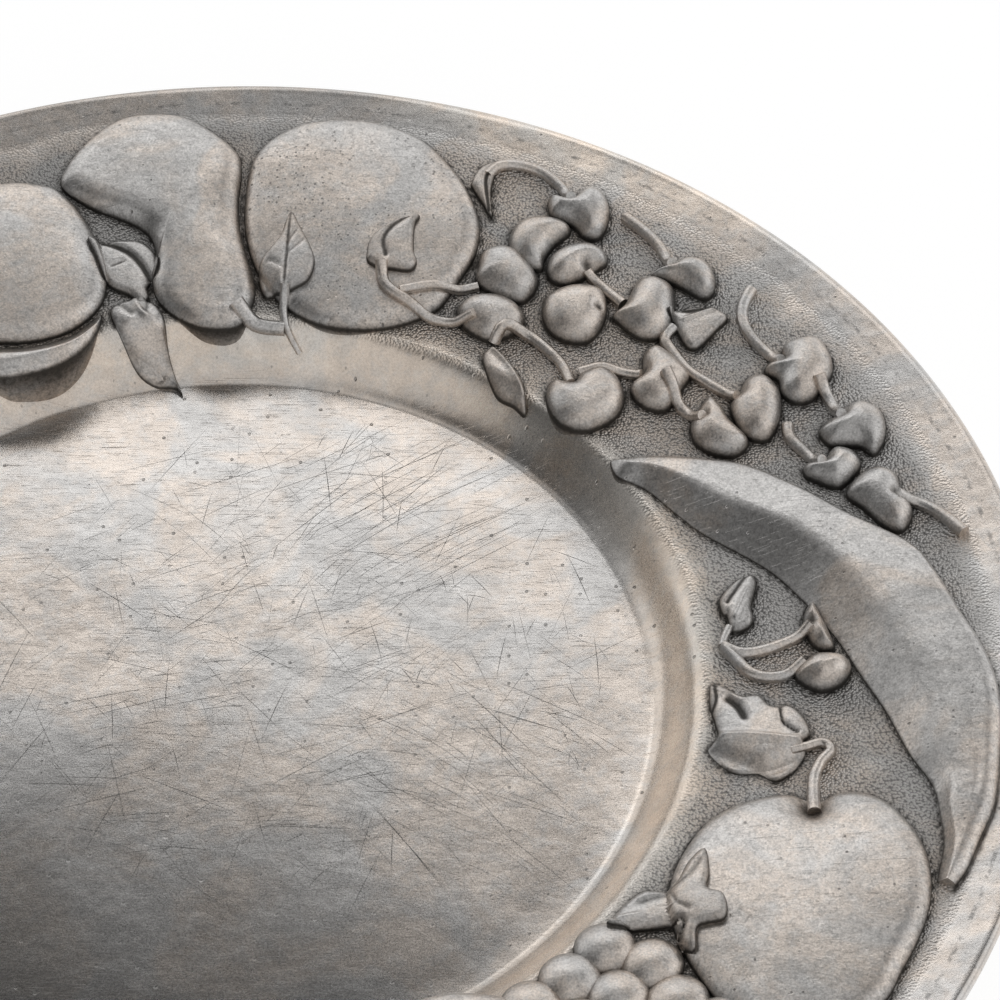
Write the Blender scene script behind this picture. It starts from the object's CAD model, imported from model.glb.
import math
from collections import namedtuple

import bpy
from bpy.props import FloatProperty, FloatVectorProperty, IntProperty, PointerProperty
from bpy.types import Operator, Panel, PropertyGroup
from mathutils import Matrix, Vector, noise
from mathutils.bvhtree import BVHTree
from mathutils.kdtree import KDTree


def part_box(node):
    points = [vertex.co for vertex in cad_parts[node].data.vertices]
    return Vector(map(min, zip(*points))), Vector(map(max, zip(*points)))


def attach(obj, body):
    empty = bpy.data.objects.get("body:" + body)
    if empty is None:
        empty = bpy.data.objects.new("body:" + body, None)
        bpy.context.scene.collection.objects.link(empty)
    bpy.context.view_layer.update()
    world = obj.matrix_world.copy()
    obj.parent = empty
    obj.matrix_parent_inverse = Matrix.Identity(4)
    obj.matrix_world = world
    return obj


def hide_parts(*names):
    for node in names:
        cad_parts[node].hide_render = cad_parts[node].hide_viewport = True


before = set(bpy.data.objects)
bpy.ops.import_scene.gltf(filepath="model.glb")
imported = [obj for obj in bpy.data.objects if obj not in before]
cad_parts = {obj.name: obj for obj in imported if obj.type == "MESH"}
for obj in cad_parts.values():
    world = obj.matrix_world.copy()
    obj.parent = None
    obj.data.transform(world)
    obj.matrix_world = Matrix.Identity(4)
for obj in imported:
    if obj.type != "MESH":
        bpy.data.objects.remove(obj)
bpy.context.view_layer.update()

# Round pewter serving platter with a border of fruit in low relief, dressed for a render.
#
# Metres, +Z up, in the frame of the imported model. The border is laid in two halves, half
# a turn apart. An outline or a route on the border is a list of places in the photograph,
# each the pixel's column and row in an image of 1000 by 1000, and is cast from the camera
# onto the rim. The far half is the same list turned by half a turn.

bl_info = {
    "name": "Pewter Serving Platter",
    "version": (1, 0, 0),
    "blender": (4, 5, 0),
    "location": "View3D > Sidebar > Platter",
    "description": "Dresses a round pewter platter with its border of fruit in relief",
    "category": "Object",
}

MM = 0.001
DISH_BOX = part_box("dish")
PLATTER_RADIUS = DISH_BOX[1][0]
PLATTER_HEIGHT = DISH_BOX[1][2]
TOP = 2 * PLATTER_HEIGHT

# The camera of the photograph
CAMERA_PLACE = Vector((0.06178, -0.47834, 0.5948))
CAMERA_TILT = math.radians(42.15)
CAMERA_LENS = 126
CAMERA_SENSOR = 36
IMAGE_SIZE = 1000

# A casting's form is its shoulder's width, its rise and the crown above that
Casting = namedtuple("Casting", "edge shoulder rise crown")
Groove = namedtuple("Groove", "route width depth")
Stem = namedtuple("Stem", "route root tip")

# The large fruit
PEACH = Casting(
    ((0, 184), (19, 183), (38, 185), (57, 190), (77, 208), (93, 233), (104, 262), (107, 284),
     (101, 304), (86, 320), (64, 333), (32, 341), (0, 342), (-40, 338), (-80, 322), (-104, 290),
     (-106, 255), (-92, 225), (-66, 203), (-34, 188)),
    4.6 * MM, 2.6 * MM, 1.7 * MM)
PEAR = Casting(
    ((61, 186), (69, 163), (92, 138), (121, 120), (153, 115), (185, 118), (217, 135), (238, 154),
     (242, 173), (239, 198), (240, 226), (245, 250), (254, 280), (254, 300), (240, 325),
     (207, 328), (180, 319), (160, 303), (152, 283), (156, 262), (152, 240), (137, 226),
     (113, 216), (88, 206)),
    5.0 * MM, 2.8 * MM, 1.8 * MM)
ORANGE = Casting(
    ((244, 218), (247, 182), (255, 157), (274, 138), (303, 125), (335, 121), (367, 122),
     (399, 130), (427, 144), (450, 166), (467, 189), (477, 211), (480, 230), (475, 256),
     (459, 281), (440, 307), (415, 320), (383, 328), (351, 329), (319, 324), (293, 312),
     (271, 294), (255, 268), (247, 243)),
    5.0 * MM, 2.8 * MM, 1.8 * MM)
APPLE = Casting(
    ((800, 795), (786, 794), (765, 797), (736, 805), (707, 822), (686, 848), (672, 877),
     (668, 910), (683, 951), (701, 980), (724, 1009), (755, 1035), (800, 1045), (850, 1030),
     (886, 1000), (902, 971), (916, 945), (927, 918), (932, 892), (931, 868), (924, 845),
     (909, 822), (886, 801), (859, 792), (836, 793), (815, 800)),
    4.6 * MM, 2.6 * MM, 2.0 * MM)
PEAR_STALK = Stem(((236, 306), (252, 315), (284, 318)), 2.0 * MM, 1.8 * MM)
APPLE_STEM = Stem(((815, 807), (814, 789), (815, 772), (822, 756), (832, 745), (824, 737),
                   (809, 741), (792, 745)), 1.5 * MM, 1.1 * MM)
APPLE_DENT = (812, 809)

# The melon slice and the banana, each between an outer and an inner edge
MELON_OUTER = ((100, 312), (101, 322), (92, 340), (76, 355), (51, 368), (19, 376), (0, 378),
               (-40, 374), (-75, 360), (-96, 338))
MELON_INNER = ((96, 316), (86, 324), (64, 337), (32, 345), (0, 346), (-40, 342), (-80, 326),
               (-92, 318))
BANANA_OUTER = ((610, 460), (646, 456), (695, 459), (748, 468), (801, 492), (846, 517),
                (912, 549), (938, 578), (962, 616), (982, 646), (997, 681), (1002, 716),
                (1000, 760), (995, 804), (982, 836), (968, 868), (956, 885))
BANANA_INNER = ((610, 461), (618, 475), (646, 488), (675, 511), (703, 532), (751, 558),
                (777, 575), (800, 596), (818, 615), (839, 640), (862, 675), (886, 710),
                (909, 751), (933, 784), (940, 813), (944, 842), (937, 880))
BANANA_FACET = ((938, 651), (956, 687), (971, 728), (978, 760), (975, 795))
MELON_RISE = 3.2 * MM
MELON_SHOULDER = 4.5 * MM
BANANA_RISE = 5.2 * MM
BANANA_WALL = 9.0 * MM
BANANA_SHOULDER = 3.5 * MM
BANANA_CROWN = 0.5 * MM

# Cherries by number, with their stems
CHERRY_FORM = (5.6 * MM, 4.0 * MM, 0.6 * MM)
CHERRIES = {
    1: ((548, 200), (555, 197), (567, 199), (576, 196), (590, 189), (604, 195), (610, 211),
        (606, 230), (596, 240), (583, 237), (573, 227), (555, 219), (549, 214)),
    2: ((508, 242), (517, 225), (538, 218), (562, 222), (571, 232), (555, 246), (545, 260),
        (542, 270), (527, 269), (513, 259)),
    3: ((546, 271), (551, 257), (569, 247), (590, 245), (605, 253), (607, 264), (596, 271),
        (585, 278), (567, 285), (552, 281)),
    4: ((477, 270), (483, 253), (503, 247), (520, 254), (534, 270), (538, 285), (524, 302),
        (503, 299), (482, 288), (475, 279)),
    5: ((542, 316), (545, 299), (562, 289), (583, 286), (603, 292), (607, 311), (601, 329),
        (587, 342), (566, 341), (550, 332)),
    6: ((612, 317), (625, 305), (636, 284), (653, 278), (672, 287), (675, 305), (670, 326),
        (657, 339), (639, 338), (625, 329), (617, 322)),
    7: ((651, 276), (667, 266), (688, 259), (706, 263), (715, 277), (714, 293), (703, 299),
        (681, 288), (665, 281)),
    8: ((457, 310), (471, 298), (496, 296), (517, 305), (525, 320), (517, 332), (492, 341),
        (473, 334), (461, 324)),
    9: ((546, 392), (554, 381), (571, 384), (580, 375), (601, 368), (618, 378), (625, 398),
        (618, 415), (601, 427), (580, 431), (559, 423), (548, 408)),
    10: ((630, 387), (641, 375), (644, 354), (657, 347), (674, 357), (690, 375), (682, 390),
         (675, 402), (664, 411), (646, 408), (634, 399)),
    11: ((690, 428), (694, 418), (708, 398), (722, 408), (731, 422), (748, 439), (745, 450),
         (731, 457), (710, 453), (695, 443)),
    12: ((730, 407), (738, 393), (748, 379), (766, 377), (779, 390), (782, 407), (777, 428),
         (766, 441), (748, 438), (736, 425)),
    13: ((783, 347), (801, 339), (819, 340), (830, 354), (833, 373), (822, 390), (811, 401),
         (795, 403), (781, 394), (778, 381), (766, 374), (767, 366), (781, 360)),
    14: ((819, 431), (832, 418), (846, 407), (864, 403), (882, 413), (886, 435), (875, 455),
         (859, 447), (832, 446), (822, 439)),
    15: ((804, 467), (822, 461), (834, 449), (853, 452), (861, 464), (850, 481), (836, 488),
         (815, 481), (805, 476)),
    16: ((846, 494), (860, 475), (878, 468), (896, 475), (902, 491), (913, 512), (903, 531),
         (885, 527), (864, 509)),
    17: ((803, 617), (812, 602), (821, 616), (830, 634), (834, 648), (824, 651), (812, 644),
         (805, 631)),
    18: ((795, 675), (806, 657), (824, 654), (844, 657), (852, 669), (842, 684), (821, 691),
         (803, 684)),
}
CHERRY_STEMS = {
    1: ((571, 199), (562, 183), (542, 167), (517, 160), (499, 161), (488, 170)),
    3: ((587, 270), (601, 281), (614, 292), (623, 299)),
    7: ((672, 265), (660, 242), (643, 225), (625, 212)),
    9: ((571, 380), (563, 361), (548, 345), (527, 330), (506, 327), (494, 337)),
    10: ((642, 372), (620, 367), (604, 364), (580, 367)),
    11: ((702, 419), (681, 403), (673, 390), (665, 379)),
    12: ((737, 394), (710, 379), (688, 365), (671, 344), (665, 333), (674, 322)),
    13: ((781, 359), (759, 340), (745, 321), (743, 302), (752, 284)),
    14: ((841, 417), (831, 397), (819, 379)),
    15: ((822, 462), (804, 446), (790, 432), (788, 420)),
    16: ((897, 496), (920, 498), (942, 509), (965, 527)),
    17: ((811, 624), (795, 634), (765, 645), (742, 648), (723, 641)),
    18: ((805, 659), (786, 670), (765, 672), (748, 666), (736, 654), (724, 642)),
}
CHERRY_STEM_ROOT = 1.5 * MM
CHERRY_STEM_TIP = 1.25 * MM
FAR_CHERRIES = (9, 11, 12, 13, 14, 16, 18)
LEAFY_CHERRY = 1
PITTED_CHERRY = 5
CHERRY_PIT = (599, 312)

# Leaves and the bud: the outline, then the grooves and ribs that are cut into it
LEAF_FORM = (1.5 * MM, 1.5 * MM, 0.3 * MM)
NARROW_LEAF_FORM = (1.5 * MM, 1.5 * MM, 0)
NEAR_LEAF = "cherry_leaf_inner"
LEAVES = {
    NEAR_LEAF: (
        ((483, 348), (495, 343), (510, 358), (522, 375), (526, 398), (513, 390), (496, 380),
         (485, 362)),
        (Groove(((492, 350), (508, 366), (524, 394)), 0.8 * MM, -0.7 * MM),)),
    "pear_leaf_upper": (
        ((88, 238), (96, 256), (107, 278), (128, 288), (140, 296), (148, 291), (147, 281),
         (156, 270), (158, 259), (153, 246), (140, 236), (121, 235), (105, 237)),
        (Groove(((94, 243), (110, 246), (128, 254), (140, 265), (150, 280)), 0.8 * MM, 0.9 * MM),
         Groove(((112, 268), (124, 264)), 0.5 * MM, 0.4 * MM))),
    "pear_leaf_lower": (
        ((110, 310), (112, 301), (123, 296), (143, 294), (156, 300), (164, 313), (167, 331),
         (179, 355), (171, 349), (153, 347), (134, 340), (120, 326)),
        (Groove(((134, 298), (140, 313), (163, 332), (177, 354)), 0.9 * MM, -0.8 * MM),
         Groove(((117, 327), (134, 340), (154, 347)), 1.8 * MM, 1.3 * MM),
         Groove(((118, 305), (132, 316)), 0.6 * MM, 0.35 * MM),
         Groove(((148, 300), (146, 312)), 0.6 * MM, 0.4 * MM))),
    "orange_leaf": (
        ((292, 217), (300, 232), (311, 253), (315, 268), (310, 283), (300, 290), (285, 294),
         (273, 291), (265, 291), (259, 280), (259, 265), (269, 254), (281, 240), (287, 225)),
        (Groove(((292, 222), (289, 250), (286, 280), (285, 292)), 0.55 * MM, 0.45 * MM),
         Groove(((287, 268), (303, 256)), 0.5 * MM, 0.3 * MM),
         Groove(((286, 281), (271, 273)), 0.5 * MM, 0.3 * MM),
         Groove(((288, 257), (298, 244)), 0.4 * MM, 0.35 * MM))),
    "cherry_leaf_middle": (
        ((669, 308), (688, 302), (710, 301), (728, 311), (717, 324), (699, 341), (688, 341),
         (680, 330), (674, 318)),
        (Groove(((673, 310), (690, 312), (706, 308)), 0.8 * MM, 0.9 * MM),
         Groove(((684, 322), (712, 312)), 0.6 * MM, -0.4 * MM))),
    "banana_leaf_small": (
        ((720, 593), (736, 575), (751, 569), (757, 578), (752, 599), (754, 613), (748, 622),
         (733, 625), (727, 610), (723, 608)),
        (Groove(((727, 604), (738, 588), (749, 572)), 0.6 * MM, 0.5 * MM),
         Groove(((735, 618), (747, 592)), 0.7 * MM, -0.5 * MM))),
    "apple_leaf": (
        ((710, 698), (711, 678), (724, 681), (742, 690), (759, 689), (772, 700), (792, 700),
         (806, 713), (811, 728), (804, 735), (807, 745), (795, 763), (777, 774), (759, 766),
         (736, 766), (718, 755), (708, 742), (718, 731), (715, 716)),
        (Groove(((712, 752), (738, 762), (768, 769), (798, 758)), 2.5 * MM, 1.7 * MM),
         Groove(((716, 738), (750, 738), (800, 742)), 0.9 * MM, -0.7 * MM),
         Groove(((728, 700), (738, 708), (744, 718)), 1.0 * MM, 1.2 * MM),
         Groove(((713, 680), (716, 700), (712, 712)), 0.5 * MM, 0.6 * MM),
         Groove(((780, 708), (783, 724), (797, 734)), 0.4 * MM, 0.6 * MM))),
    "grape_leaf": (
        ((705, 852), (709, 877), (707, 892), (722, 898), (727, 911), (724, 924), (707, 927),
         (697, 931), (695, 951), (686, 948), (677, 941), (684, 924), (668, 921), (648, 924),
         (613, 926), (607, 921), (619, 904), (642, 886), (665, 886), (677, 882), (689, 863)),
        (Groove(((640, 905), (663, 898), (689, 886), (700, 872)), 0.7 * MM, 0.35 * MM),
         Groove(((668, 893), (676, 910), (688, 920)), 0.6 * MM, 0.35 * MM),
         Groove(((612, 922), (640, 917)), 0.7 * MM, -0.6 * MM))),
    "orange_bud": (
        ((367, 259), (371, 246), (387, 232), (408, 223), (420, 222), (415, 233), (414, 256),
         (417, 268), (410, 276), (392, 275), (380, 274), (368, 268)),
        (Groove(((413, 228), (392, 243), (384, 256), (386, 270)), 0.8 * MM, 0.5 * MM),)),
}
LEAF_NARROW = ((471, 183), (478, 170), (490, 163), (503, 162), (495, 176), (491, 193),
               (492, 217), (483, 204), (473, 189))
LEAF_NARROW_RIB = ((496, 166), (486, 180), (489, 210))
LEAF_STEMS = {
    "orange_leaf": (
        Stem(((286, 292), (283, 306), (287, 319), (298, 330)), 1.2 * MM, 0.7 * MM),),
    "banana_leaf_small": (
        Stem(((730, 622), (725, 632), (722, 641)), 1.0 * MM, 0.9 * MM),),
    "orange_bud": (
        Stem(((382, 273), (384, 289), (398, 300), (424, 312), (453, 318), (474, 319)),
             1.5 * MM, 1.2 * MM),
        Stem(((400, 296), (430, 290), (456, 286), (478, 281)), 1.3 * MM, 1.2 * MM)),
}

# Grapes: rows by the angle at which each starts, and its count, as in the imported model
GRAPE_DIAMETER = 13.0 * MM
GRAPE_FORM = (GRAPE_DIAMETER / 2, 3.4 * MM, 0.2 * MM)
GRAPE_PITCH = 10.2 * MM
GRAPE_ROW_PITCH = 9.8 * MM
GRAPE_FIRST_INSET = 66.5 * MM
GRAPE_ROWS = ((-42.0, 3), (-40.6, 3), (-42.4, 3), (-42.2, 2), (-44.6, 2))

# Plums: angle, inset, length, width and heading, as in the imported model
PLUMS = ((61.6, 29, 31, 27, 20), (57.2, 57, 27, 25, -35), (49.4, 30, 30, 27, 10))
PLUM_FORM = (8.0 * MM, 4.0 * MM, 0.8 * MM)

# How finely things are made: points round the edge and rings of a casting, steps of a line
LARGE_GRID = (160, 40)
SMALL_GRID = (72, 20)
LEAF_GRID = (112, 26)
GRAPE_GRID = (40, 12)
BAND_GRID = (150, 30)
KNOT_STEPS = 12
GROOVE_STEPS = 60
STEM_SIDES = 10
STEM_STEP = 1.2 * MM
SHARP_ANGLE = math.radians(60)

# How castings lie: lift of an edge, gap under a seat, lift and settling of a stem
EDGE_LIFT = 0.35 * MM
LEAST_LIFT = 0.1 * MM
SEAT = 0.3 * MM
STEM_LIFT = 0.7 * MM
STEM_SINK = 0.4 * MM

# How dark hollows are: the seam at an edge, the flank over it, walls, dents and grooves
SEAM = 0.42 * MM
FLANK = 0.58
FLANK_REACH = 2.3 * MM
WALL_HOLLOW = 0.35
DENT_HOLLOW = 0.8
DARK_GROOVE_WIDTH = 0.9 * MM
DARK_GROOVE_DEPTH = 0.6 * MM

# Waves of the dish's unevenness in a metre
WARP_RATE = 26

# How far over the rim a place in the photograph is taken to lie, and how often it is cast
EDGE_OVER = 1.0 * MM
STEM_OVER = 2.5 * MM
LEAF_OVER = 3.0 * MM
CAST_ROUNDS = 4
SOFTER_ROUNDS = 3

# How much brighter hands rub the pewter, by colour
POLISH = (1.32, 1.27, 1.20, 1.0)

relief = {"edges": [], "trees": []}


def length_setting(name, description, size):
    """Return a setting for a length."""
    return FloatProperty(name=name, description=description, default=size, unit='LENGTH')


def colour_setting(name, description, shade):
    """Return a setting for a colour."""
    return FloatVectorProperty(name=name, description=description, default=shade,
                               subtype='COLOR')


class PlatterDish(PropertyGroup):
    """Sizes of the dish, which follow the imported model."""

    wall: length_setting("Wall", "Thickness of the dish, measured upright", 2.4 * MM)
    border: length_setting("Border", "Width of the sloping rim with its relief", 71 * MM)
    booge: length_setting("Booge", "Width of the curve between well and rim", 13 * MM)
    rim_drop: length_setting("Rim drop", "Fall of the rim from lip to booge", 9.5 * MM)
    rim_curve: FloatProperty(name="Rim curve", description="Power of the rim's hollow curve",
                             default=1.25)
    lip: length_setting("Lip", "Radius of the rounded lip", 1.6 * MM)
    warp: length_setting("Warp", "Height of the gentle unevenness of hand work", 0.25 * MM)


class PlatterFinish(PropertyGroup):
    """Colours of the pewter."""

    cool: colour_setting("Cool", "Blue-grey pewter", (0.62, 0.605, 0.59))
    warm: colour_setting("Warm", "Beige pewter where the patina is thin", (0.72, 0.645, 0.58))
    tarnish: colour_setting("Tarnish", "Dark grey of the old skin", (0.165, 0.162, 0.158))
    dirt: colour_setting("Dirt", "Near black of the deepest hollows", (0.045, 0.041, 0.036))


class PlatterScratches(PropertyGroup):
    """Sizes of the knife marks in the well."""

    count: IntProperty(name="Count", description="Number of marks over the whole well",
                       default=430)
    length: length_setting("Length", "Length of the longest marks", 36 * MM)
    width: length_setting("Width", "Width of the widest marks", 0.16 * MM)
    seed: IntProperty(name="Seed", description="Seed of the marks' places", default=7)


class DishProfile:
    """The turned section of the dish from its settings, for one half of the border."""

    def __init__(self, mark="a", side=1):
        sizes = bpy.context.scene.platter_dish
        self.mark = mark
        self.side = side
        self.wall = sizes.wall
        self.booge = sizes.booge
        self.lip = sizes.lip
        self.rim_drop = sizes.rim_drop
        self.rim_curve = sizes.rim_curve
        self.warp = sizes.warp
        self.border_inner = PLATTER_RADIUS - sizes.border
        self.well = self.border_inner - sizes.booge
        self.lip_centre = PLATTER_RADIUS - sizes.lip
        self.inner_height = PLATTER_HEIGHT - sizes.rim_drop

    def height(self, radius):
        """Return the height of the upper surface at a distance from the middle."""
        if radius <= self.well:
            return self.wall
        if radius <= self.border_inner:
            share = (radius - self.well) / self.booge
            return self.wall + (self.inner_height - self.wall) * (1 - math.cos(math.pi * share)) / 2
        share = min(1, (radius - self.border_inner) / (self.lip_centre - self.border_inner))
        return self.inner_height + self.rim_drop * share ** self.rim_curve

    def rim(self, spot):
        """Return the height of the rim at a place, run on level over the booge."""
        return self.height(max(spot.length, self.border_inner))

    def unevenness(self, spot):
        """Return how far hand work lifts or lowers the upper surface at a place."""
        return self.warp * noise.noise(Vector((spot.x * WARP_RATE, spot.y * WARP_RATE, 1)))


def halves():
    """Return the section of the dish for the half in the photograph and for the far half."""
    return DishProfile("a", 1), DishProfile("b", -1)


def polar(turn, reach):
    """Return the place at an angle and a distance from the middle."""
    return Vector((math.cos(turn), math.sin(turn))) * reach


def oval(centre, length, width, tilt, count):
    """Return an oval outline, its length turned by an angle."""
    turned = Matrix.Rotation(tilt, 2)
    swings = [2 * math.pi * step / count for step in range(count)]
    return [centre + turned @ Vector((math.cos(swing) * length, math.sin(swing) * width)) / 2
            for swing in swings]


def cast_pixel(column, row, height):
    """Return the plan position that a place in the photograph has at a height."""
    scale = CAMERA_SENSOR / CAMERA_LENS / IMAGE_SIZE
    right = (column - IMAGE_SIZE / 2) * scale
    up = (IMAGE_SIZE / 2 - row) * scale
    ray = Vector((right,
                  up * math.cos(CAMERA_TILT) + math.sin(CAMERA_TILT),
                  up * math.sin(CAMERA_TILT) - math.cos(CAMERA_TILT)))
    return (CAMERA_PLACE + ray * ((height - CAMERA_PLACE.z) / ray.z)).xy


def traced(places, profile, over=EDGE_OVER):
    """Cast places in the photograph onto the rim, or onto the far half's rim."""
    spots = []
    for column, row in places:
        spot = cast_pixel(column, row, PLATTER_HEIGHT)
        for _ in range(CAST_ROUNDS):
            spot = cast_pixel(column, row, profile.rim(spot) + over)
        spots.append(spot * profile.side)
    return spots


def curve_point(before, one, two, after, share):
    """Return a place on the smooth curve between the middle two of four places."""
    return (2 * one + (two - before) * share
            + (2 * before - 5 * one + 4 * two - after) * share ** 2
            + (3 * one - before - 3 * two + after) * share ** 3) / 2


def smooth_line(knots, count, closed=False):
    """Return evenly spaced places along a smooth curve through knots."""
    total = len(knots)
    fine = []
    for span in range(total if closed else total - 1):
        if closed:
            four = [knots[(span + step) % total] for step in (-1, 0, 1, 2)]
        else:
            four = [knots[min(max(span + step, 0), total - 1)] for step in (-1, 0, 1, 2)]
        fine += [curve_point(*four, step / KNOT_STEPS) for step in range(KNOT_STEPS)]
    fine.append(knots[0] if closed else knots[-1])
    lengths = [0]
    for one, two in zip(fine, fine[1:]):
        lengths.append(lengths[-1] + (two - one).length)
    steps = count if closed else count - 1
    line = []
    place = 0
    for number in range(count):
        goal = lengths[-1] * number / steps
        while place < len(lengths) - 2 and lengths[place + 1] < goal:
            place += 1
        share = (goal - lengths[place]) / max(1e-9, lengths[place + 1] - lengths[place])
        line.append(fine[place].lerp(fine[place + 1], min(1, share)))
    return line


def tree_of(spots):
    """Return a search tree of plan positions."""
    tree = KDTree(len(spots))
    for number, spot in enumerate(spots):
        tree.insert((spot.x, spot.y, 0), number)
    tree.balance()
    return tree


def distance(tree, spot):
    """Return how far a plan position is from the nearest in a tree."""
    return tree.find((spot.x, spot.y, 0))[2]


def clamped(share):
    """Return a share kept between 0 and 1."""
    return min(1, max(0, share))


def quarter_round(share):
    """Return the height of a quarter circle at a share of its width."""
    return math.sqrt(1 - (1 - clamped(share)) ** 2)


def top_height(spot, profile):
    """Return the height of the dish, or of the castings that already lie there."""
    height = profile.height(spot.length)
    for low, high, tree in relief["trees"]:
        if low.x <= spot.x <= high.x and low.y <= spot.y <= high.y:
            hit = tree.ray_cast(Vector((spot.x, spot.y, TOP)), Vector((0, 0, -1)))[0]
            if hit is not None:
                height = max(height, hit.z)
    return height


def keep_surface(mesh):
    """Remember a casting's surface, so that later ones can lie on it."""
    corners = [vertex.co.copy() for vertex in mesh.vertices]
    low = Vector((min(c.x for c in corners), min(c.y for c in corners)))
    high = Vector((max(c.x for c in corners), max(c.y for c in corners)))
    tree = BVHTree.FromPolygons(corners, [tuple(face.vertices) for face in mesh.polygons])
    relief["trees"].append((low, high, tree))


def smooth_mesh(name, points, faces):
    """Return a smooth mesh, sharp only where its faces meet at a steep angle."""
    mesh = bpy.data.meshes.new(name)
    mesh.from_pydata(points, [], faces)
    mesh.validate()
    mesh.shade_smooth()
    mesh.set_sharp_from_angle(angle=SHARP_ANGLE)
    return mesh


def set_attribute(mesh, name, values, rest=0.0):
    """Store one number for each point of a mesh, and the same one for points left over."""
    layer = mesh.attributes.new(name, 'FLOAT', 'POINT')
    filled = list(values) + [rest] * (len(mesh.vertices) - len(values))
    layer.data.foreach_set("value", filled)


def closed_casting(name, tops, hollows, quads, loop, profile, base=None):
    """Make a closed mesh of a top surface, its wall and an underside, flat unless given."""
    count = len(tops)
    around = len(loop)
    faces = list(quads)
    seats = []
    for number in range(around):
        after = (number + 1) % around
        faces.append((loop[after], loop[number], count + number, count + after))
        x, y, _ = tops[loop[number]]
        seats.append((x, y, top_height(Vector((x, y)), profile) - SEAT))
    for face in base or [range(around)]:
        faces.append(tuple(count + number for number in reversed(face)))
    mesh = smooth_mesh(name, tops + seats, faces)
    set_attribute(mesh, "hollow", hollows, WALL_HOLLOW)
    return mesh


def carved(spot, grooves):
    """Return how much the grooves lower a place, and how dark they make it."""
    lower = 0
    dark = 0
    for tree, width, depth in grooves:
        share = math.exp(-(distance(tree, spot) / width) ** 2)
        lower += depth * share
        if depth > 0:
            dark = max(dark, share * min(1, DARK_GROOVE_WIDTH / width, depth / DARK_GROOVE_DEPTH))
    return lower, dark


def groove_trees(grooves, profile):
    """Return the search trees, widths and depths of grooves."""
    trees = []
    for route, width, depth in grooves:
        trees.append((tree_of(smooth_line(traced(route, profile), GROOVE_STEPS)), width, depth))
    return trees


def hollowness(dark, inside, flank):
    """Return how deep in a hollow a place is, by its distance from the casting's edge."""
    return max(dark, math.exp(-inside / SEAM), flank * math.exp(-inside / FLANK_REACH))


def ring_faces(around, rings, closed=False):
    """Return the faces of rings about a first point, closed by a last point where asked."""
    low = 1 + (rings - 1) * around
    faces = []
    for number in range(around):
        after = (number + 1) % around
        faces.append((0, 1 + number, 1 + after))
        for inner in range(1, low, around):
            outer = inner + around
            faces.append((inner + number, outer + number, outer + after, inner + after))
        if closed:
            faces.append((low + number, low + around, low + after))
    return faces


def polar_grid(edge, rings):
    """Return places that fill an outline ring by ring, and the share of each ring."""
    around = len(edge)
    centre = sum(edge, Vector((0, 0))) / around
    spots = [centre]
    shares = [0]
    for ring in range(1, rings + 1):
        share = math.sin(math.pi / 2 * ring / rings)
        spots += [centre.lerp(place, share) for place in edge]
        shares += [share] * around
    return spots, shares


def turned_right(edge):
    """Return an outline that runs counter-clockwise."""
    area = sum(one.x * two.y - two.x * one.y for one, two in zip(edge, edge[1:] + edge[:1]))
    return edge if area > 0 else edge[::-1]


def raised(name, edge, grid, form, profile, ground=None, grooves=(), dents=()):
    """Make one casting that stands up inside an outline, and remember its edge."""
    around, rings = grid
    shoulder, rise, crown = form
    ground = ground or profile.rim
    edge = turned_right(smooth_line(edge, around, closed=True))
    spots, shares = polar_grid(edge, rings)
    tree = tree_of(smooth_line(edge, 4 * around, closed=True))
    tops = []
    hollows = []
    for spot, share in zip(spots, shares):
        inside = distance(tree, spot)
        height = EDGE_LIFT + rise * quarter_round(inside / shoulder) + crown * (1 - share ** 2)
        lower, dark = carved(spot, grooves)
        for place, width, depth in dents:
            pull = math.exp(-((spot - place).length / width) ** 2)
            lower += depth * pull
            dark = max(dark, DENT_HOLLOW * pull)
        tops.append((spot.x, spot.y, ground(spot) + max(LEAST_LIFT, height - lower)))
        hollows.append(hollowness(dark, inside, FLANK))
    loop = range(len(tops) - around, len(tops))
    mesh = closed_casting(name, tops, hollows, ring_faces(around, rings), loop, profile)
    relief["edges"] += edge
    return mesh


def even(place):
    """Keep a long casting's wall and height the same all along it."""
    return 1, 1


def banana_swell(place):
    """Return how wide the banana's wall is, and how tall the banana, at a share of its length."""
    width = 0.25 + 0.85 * math.sin(math.pi * min(1, place / 0.86)) ** 0.8
    tall = 0.35 + 0.65 * min(1, place / 0.30) - 0.55 * max(0, (place - 0.5) / 0.5)
    return width, tall


def band_base(along, across):
    """Return the underside of a long casting row by row, as places on its edge."""
    around = 2 * (along + across) - 4
    base = []
    for row in range(along - 1):
        far = 2 * along + across - 3 - row
        face = [row, row + 1, far - 1, far]
        if row == along - 2:
            face[2:2] = range(along, far - 1)
        if row == 0:
            face += range(far + 1, around)
        base.append(face)
    return base


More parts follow.
